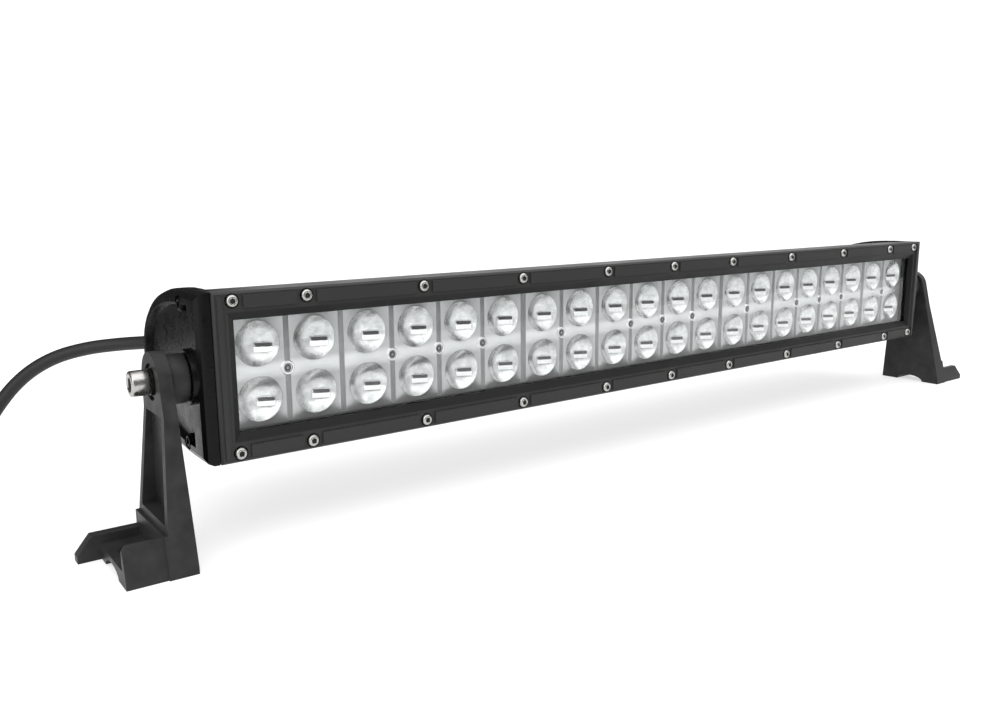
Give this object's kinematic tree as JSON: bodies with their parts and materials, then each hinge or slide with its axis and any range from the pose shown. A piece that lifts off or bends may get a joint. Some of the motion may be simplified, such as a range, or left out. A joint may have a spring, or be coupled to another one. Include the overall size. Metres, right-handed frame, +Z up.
{
  "type": "led light bar",
  "caption": "Straight double-row LED light bar with finned housing, framed clear lens, two swinging slotted foot brackets and a supply cord.",
  "frame": {"origin": "on the floor under the middle of the bar and its brackets, without the cord", "axes": "+X along the bar, +Y from the lens towards the fins, +Z up"},
  "size_m": [0.7296, 0.2085, 0.107],
  "materials": {
    "black_coat": "satin black powder coat on extruded aluminium",
    "black_cast": "satin black powder coat on cast aluminium",
    "gasket_rubber": "matt black silicone rubber",
    "clear_lens": "clear polycarbonate",
    "reflector_chrome": "vacuum metallised reflector",
    "board_white": "white solder mask on a metal core board",
    "board_green": "green circuit board with parts",
    "stainless": "bright stainless steel",
    "black_plastic": "black nylon",
    "cord_rubber": "black rubber cord jacket"
  },
  "bodies": {
    "lamp": {"housing": "black_coat", "end_cap_left": "black_cast", "end_cap_right": "black_cast", "bezel": "black_coat", "cap_gasket_left": "gasket_rubber", "cap_gasket_right": "gasket_rubber", "lens_gasket": "gasket_rubber", "lens": "clear_lens", "led_board_upper": "board_white", "led_board_lower": "board_white", "driver_board": "board_green", "supply_lead": "cord_rubber", "vent_plug": "black_plastic", "gland_body": "black_plastic", "gland_nut": "black_plastic", "strain_relief": "cord_rubber", "power_cord": "cord_rubber", "connector": "black_plastic", "reflector_module_1": "reflector_chrome", "reflector_module_2": "reflector_chrome", "reflector_module_3": "reflector_chrome", "reflector_module_4": "reflector_chrome", "pivot_bolt_left": "stainless", "flat_washer_left": "stainless", "spring_washer_left": "stainless", "pivot_spacer_left": "black_plastic", "cap_screw_left_1": "stainless", "cap_screw_left_2": "stainless", "cap_screw_left_3": "stainless", "pivot_bolt_right": "stainless", "flat_washer_right": "stainless", "spring_washer_right": "stainless", "pivot_spacer_right": "black_plastic", "cap_screw_right_1": "stainless", "cap_screw_right_2": "stainless", "cap_screw_right_3": "stainless", "bezel_screw_01": "stainless", "bezel_screw_02": "stainless", "bezel_screw_03": "stainless", "bezel_screw_04": "stainless", "bezel_screw_05": "stainless", "bezel_screw_06": "stainless", "bezel_screw_07": "stainless", "bezel_screw_08": "stainless", "bezel_screw_09": "stainless", "bezel_screw_10": "stainless", "bezel_screw_11": "stainless", "bezel_screw_12": "stainless", "bezel_screw_13": "stainless", "bezel_screw_14": "stainless", "bezel_screw_15": "stainless", "bezel_screw_16": "stainless", "bezel_screw_17": "stainless", "bezel_screw_18": "stainless", "bezel_screw_19": "stainless", "bezel_screw_20": "stainless", "bezel_screw_21": "stainless", "bezel_screw_22": "stainless"},
    "bracket_left": {"mounting_bracket_left": "black_cast"},
    "bracket_right": {"mounting_bracket_right": "black_cast"}
  },
  "joints": [
    {"name": "bracket_left_swing", "type": "hinge", "parent": "lamp", "child": "bracket_left", "pos_m": [-0.2807, -0.0195, 0.072], "axis": [1, 0, 0], "range_deg": [-90, 90]},
    {"name": "bracket_right_swing", "type": "hinge", "parent": "lamp", "child": "bracket_right", "pos_m": [0.2807, -0.0195, 0.072], "axis": [1, 0, 0], "range_deg": [-90, 90]}
  ]
}
